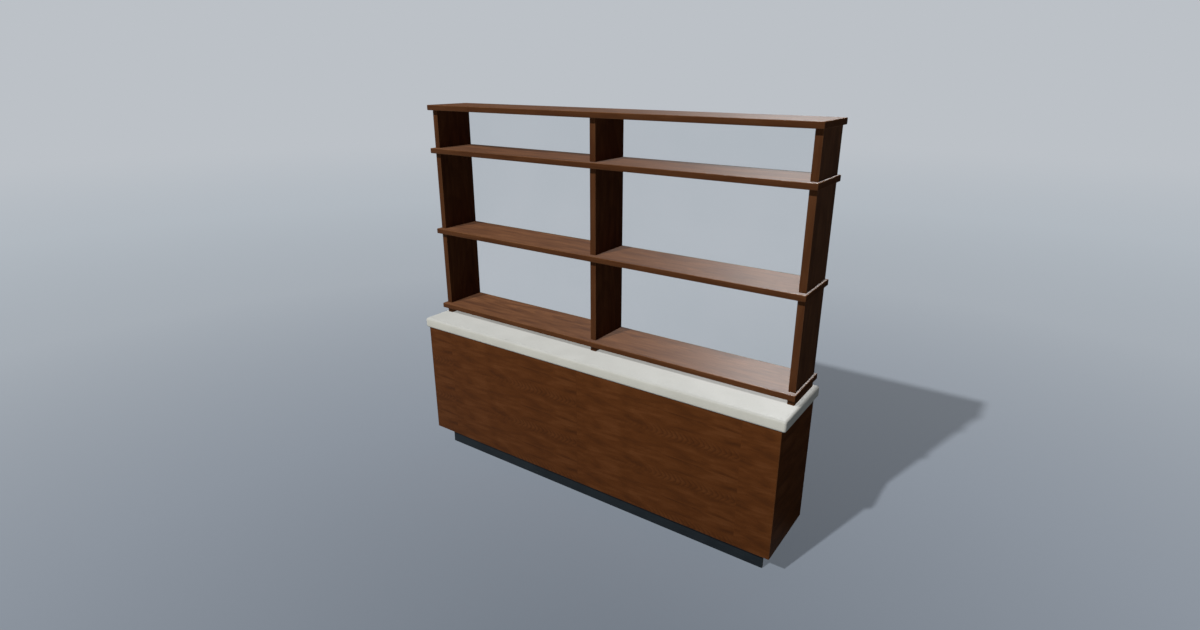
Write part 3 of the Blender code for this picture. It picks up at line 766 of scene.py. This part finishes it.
def hexagonRadius(flat):
    # distance from the axis to a hexagon's side at each step round
    return flat / np.cos(np.mod(turnAngles + np.pi / 6, np.pi / 3) - np.pi / 6)


def threadRings(start, end, count, top, look):
    # a ridge that climbs a pitch a turn: the radius falls by a triangle wave of height over pitch less turn
    heights = np.linspace(start, end, count)
    turns = heights[:, None] / look["pitch"] - turnAngles[None, :] / (2 * np.pi)
    return heights, top - look["threadDepth"] * np.abs(2 * np.mod(turns, 1) - 1)


def heightOf(node):
    low, high = boxOf(node)
    return high[2] - low[2]


def turnedGrid(node, rings):
    # rings is a list of heights above the node's foot with the radius there, one number or one for a step
    low, high = boxOf(node)
    axis = (low + high) / 2
    heights = np.concatenate([np.atleast_1d(height) for height, radius in rings])
    radii = np.concatenate([np.broadcast_to(radius, (np.size(height), roundSteps))
                            for height, radius in rings])
    turn = np.stack([np.cos(turnAngles), np.sin(turnAngles)], -1)
    flat = axis[:2] + radii[..., None] * turn
    rise = np.broadcast_to((low[2] + heights)[:, None, None], flat.shape[:2] + (1,))
    return np.concatenate([flat, rise], -1)


def footPiece(row, place, look):
    # the section runs out under the pad, over it, up the hexagon and up the thread
    node = f"levelling_foot_{row}_{place}"
    length = heightOf(node)
    insets, heights = easedSection(0, look["padHeight"], look["padEdge"], look["padEdgeSteps"])[:2]
    hexagon = hexagonRadius(look["flat"])
    core = look["stud"] - look["threadDepth"]
    start = look["hexagonTop"] + look["studGap"]
    count = int((length - start) / look["pitch"] * look["ringsPerPitch"])
    rings = [(heights[:-1], (look["padRadius"] - insets[:-1])[:, None]),
             (look["padHeight"], hexagon + look["seat"]), (look["padHeight"], hexagon),
             (look["hexagonTop"] - look["chamfer"], hexagon),
             (look["hexagonTop"], np.minimum(hexagon, hexagon.max() - look["chamfer"])),
             (look["hexagonTop"], core),
             threadRings(start, length - look["threadDepth"], count, look["stud"], look),
             (length, core)]
    meshPiece(node, turnedGrid(node, rings), [nylon], body=f"foot_{row}_{place}",
              sharpAngle=turnedSharpAngle)


def boltPiece(row, look):
    # the section runs out under the head, over it, and up the shank and the thread
    node = f"tie_bolt_{row}"
    length = heightOf(node)
    head, edge, headTop, shank = look["head"], look["headEdge"], look["headHeight"], look["shank"]
    start = length - look["threadLength"]
    count = int(look["threadLength"] / look["pitch"] * look["ringsPerPitch"])
    rings = [(0, head - edge), (edge, head), (headTop - edge, head), (headTop, head - edge),
             (headTop, shank), (start - look["threadDepth"], shank),
             threadRings(start, length - look["threadDepth"], count, shank, look),
             (length, shank - look["threadDepth"])]
    meshPiece(node, turnedGrid(node, rings), [zinc], sharpAngle=turnedSharpAngle)


def nutPiece(row, look):
    # the section runs up the outside, in over the top, down the bore and out again under the flange
    node = f"tie_nut_{row}"
    top = heightOf(node)
    hexagon = hexagonRadius(look["flat"])
    flange, rim, thickness = look["flange"], look["flangeEdge"], look["flangeHeight"]
    bore, boreEdge = look["bore"], look["boreEdge"]
    rings = [(0, flange - rim), (rim, flange), (thickness - rim, flange), (thickness, flange - rim),
             (thickness, hexagon), (top - look["chamfer"], hexagon),
             (top, np.minimum(hexagon, hexagon.max() - look["chamfer"])),
             (top, bore + boreEdge), (top - boreEdge, bore), (boreEdge, bore), (0, bore + boreEdge)]
    meshPiece(node, turnedGrid(node, rings), [zinc], looped=True, sharpAngle=turnedSharpAngle)


def plugPiece(row, look):
    # a turned plug whose upper face is a shallow crown, so that it shows as a faint disc on the board
    node = f"top_plug_{row}"
    low, high = boxOf(node)
    radius, height = (high[0] - low[0]) / 2, high[2] - low[2]
    edge, shares = look["edge"], look["crownShares"]
    rings = [(0, radius - edge), (edge, radius), (height - edge, radius),
             (height + look["crown"] * (1 - shares ** 2), (radius - edge) * shares[:, None])]
    grid = turnedGrid(node, rings)
    grain = grid - middleOf("top_board") + np.array(treeShift(look["treeNumber"], look["aside"]))
    plain = np.zeros(grid.shape[:2])
    meshPiece(node, grid, [walnut], {"edge": plain, "sides": plain}, grain)


for row in rows:
    boltPiece(row, boltLook)
    nutPiece(row, nutLook)
    plugPiece(row, plugLook)
    for place in ("front", "back"):
        footPiece(row, place, footLook)
print("fasteners and feet: 3 bolts, 3 nuts, 3 plugs, 6 feet")

# The bearers' shape is right as it is, so they keep it and take the finish of planed softwood
for row in rows:
    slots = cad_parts[f"plinth_bearer_{row}"].data.materials
    slots.clear()
    slots.append(softwood)
print("kept nodes: 3 bearers")

# Stage: a pale floor that fades into a pale background, a key light from the front left, and three lights
# that cast no shadow: two weak high ones, in front and behind, fill the shade, and a stronger low one behind
# gives upward faces their sheen. Reflections see the same pale studio in front of the object, and a dimmer
# floor and background behind it.
stageLook = {
    "floorCentre": (1.0, -1.5, 0.0),
    "floorTones": [(0.0, "#656B74"), (0.7, "#676E77"), (2.9, "#7A818A"),    # at metres from that centre
                   (6.6, "#91979E"), (11.8, "#989FA6")],
    "background": "#BCC1C7",
    "floorRadius": 60.0, "floorRings": 12, "floorSteps": 96,
    "floorDrop": 0.2 * millimetre,      # under the feet
    "fadeStart": 6.0, "fadeEnd": 24.0,
    "mirrorFade": 18.0,                 # metres by which the background comes nearer in reflections
    "ambient": 0.012,
    "behind": 0.012,                    # strength of what reflections see behind the object
    "floorBehind": (-0.4, 0.3),         # metres along Y over which the floor dims in reflections
    "skyBehind": (-0.1, 0.3),           # share of Y in the direction over which the background does
}
lampLooks = {
    "key": {"azimuth": -14.8, "elevation": 42.0, "strength": 0.95, "angle": 1.5},
    "front": {"azimuth": -8.0, "elevation": 76.0, "strength": 0.25, "angle": 20.0},
    "rear": {"azimuth": 185.0, "elevation": 60.0, "strength": 0.24, "angle": 20.0},
    "sheen": {"azimuth": 198.5, "elevation": 32.6, "strength": 0.47, "angle": 2.0},
}


def makeFloor(look):
    # a flat disc of rings whose radius grows evenly
    rings, steps = look["floorRings"], look["floorSteps"]
    radius = np.linspace(0, look["floorRadius"], rings + 1)[1:]
    angle = np.linspace(0, 2 * np.pi, steps, endpoint=False)
    flat = radius[:, None, None] * np.stack([np.cos(angle), np.sin(angle)], -1)[None]
    points = np.concatenate([flat, np.full(flat.shape[:2] + (1,), -look["floorDrop"])], -1)
    here = np.arange(rings - 1)[:, None] * steps + np.arange(steps)
    beside = np.arange(rings - 1)[:, None] * steps + (np.arange(steps) + 1) % steps
    faces = np.stack([here, here + steps, beside + steps, beside], -1).reshape(-1, 4).tolist()
    mesh = bpy.data.meshes.new("floor")
    mesh.from_pydata(points.reshape(-1, 3).tolist(), [], faces + [list(range(steps))])
    floor = bpy.data.objects.new("floor", mesh)
    bpy.context.scene.collection.objects.link(floor)

    # paint that is darkest near a point in front of the object and paler further off, the background's own
    # colour far off, and clear for views from below
    material = newMaterial("floor_painted")
    place = addNode(material, "TexCoord").outputs["Object"]
    distance = addNode(material, "VectorMath", {0: place, 1: look["floorCentre"]}, operation="DISTANCE")
    reach = look["floorTones"][-1][0]
    share = addNode(material, "Math", {0: distance, 1: 1 / reach}, operation="MULTIPLY")
    tone = addNode(material, "ValToRGB", {"Fac": share},
                   stops=[(radius / reach, colour) for radius, colour in look["floorTones"]])
    glossyRay = addNode(material, "LightPath").outputs["Is Glossy Ray"]
    nearer = addNode(material, "Math", {0: glossyRay, 1: look["mirrorFade"], 2: distance},
                     operation="MULTIPLY_ADD")
    fade = addNode(material, "MapRange", {
        "Value": nearer, "From Min": look["fadeStart"], "From Max": look["fadeEnd"]},
        interpolation_type="SMOOTHSTEP")
    paint = addNode(material, "BsdfDiffuse", {"Color": tone})
    glow = addNode(material, "Emission", {"Color": look["background"], "Strength": 1.0})
    faded = addNode(material, "MixShader", {0: fade, 1: paint, 2: glow})
    depth = addNode(material, "SeparateXYZ", {0: place})
    nearEnd, farEnd = look["floorBehind"]
    behind = addNode(material, "MapRange", {
        "Value": depth.outputs["Y"], "From Min": nearEnd, "From Max": farEnd})
    dimmed = addNode(material, "Math", {0: glossyRay, 1: behind}, operation="MULTIPLY")
    dimGlow = addNode(material, "Emission", {"Color": look["background"], "Strength": look["behind"]})
    reflected = addNode(material, "MixShader", {0: dimmed, 1: faded, 2: dimGlow})
    below = addNode(material, "NewGeometry").outputs["Backfacing"]
    clear = addNode(material, "BsdfTransparent")
    shown = addNode(material, "MixShader", {0: below, 1: reflected, 2: clear})
    addNode(material, "OutputMaterial", {"Surface": shown})
    mesh.materials.append(material)


def makeWorld(look):
    # pale to the eye and in reflections, dimmer as the light that fills the shade
    world = bpy.data.worlds.new("studio")
    world.use_nodes = True
    world.node_tree.nodes.clear()
    bpy.context.scene.world = world
    ray = addNode(world, "LightPath").outputs
    direction = addNode(world, "TexCoord").outputs["Generated"]
    depth = addNode(world, "SeparateXYZ", {0: direction})
    nearEnd, farEnd = look["skyBehind"]
    dimmer = addNode(world, "MapRange", {
        "Value": depth.outputs["Y"], "From Min": nearEnd, "From Max": farEnd,
        "To Min": 1.0, "To Max": look["behind"]})
    mirrored = addNode(world, "Math", {0: ray["Is Glossy Ray"], 1: dimmer}, operation="MULTIPLY")
    seen = addNode(world, "Math", {0: ray["Is Camera Ray"], 1: ray["Is Transmission Ray"]},
                   operation="MAXIMUM")
    seenAll = addNode(world, "Math", {0: seen, 1: mirrored}, operation="MAXIMUM")
    strength = addNode(world, "Math", {0: seenAll, 1: look["ambient"]}, operation="MAXIMUM")
    light = addNode(world, "Background", {"Color": look["background"], "Strength": strength})
    addNode(world, "OutputWorld", {"Surface": light})


def makeLamp(name, look):
    # azimuth and elevation are degrees from straight in front; strength 1 fully lights a face turned to it
    light = bpy.data.lights.new(name, "SUN")
    light.energy = look["strength"] * math.pi
    light.angle = math.radians(look["angle"])
    light.use_shadow = name == "key"
    lamp = bpy.data.objects.new(name, light)
    lamp.rotation_euler = (math.radians(90 - look["elevation"]), 0, math.radians(look["azimuth"]))
    bpy.context.scene.collection.objects.link(lamp)


makeFloor(stageLook)
makeWorld(stageLook)
for name, look in lampLooks.items():
    makeLamp(name, look)
bpy.context.scene.view_settings.view_transform = "Standard"
print("stage: floor, world and lights")
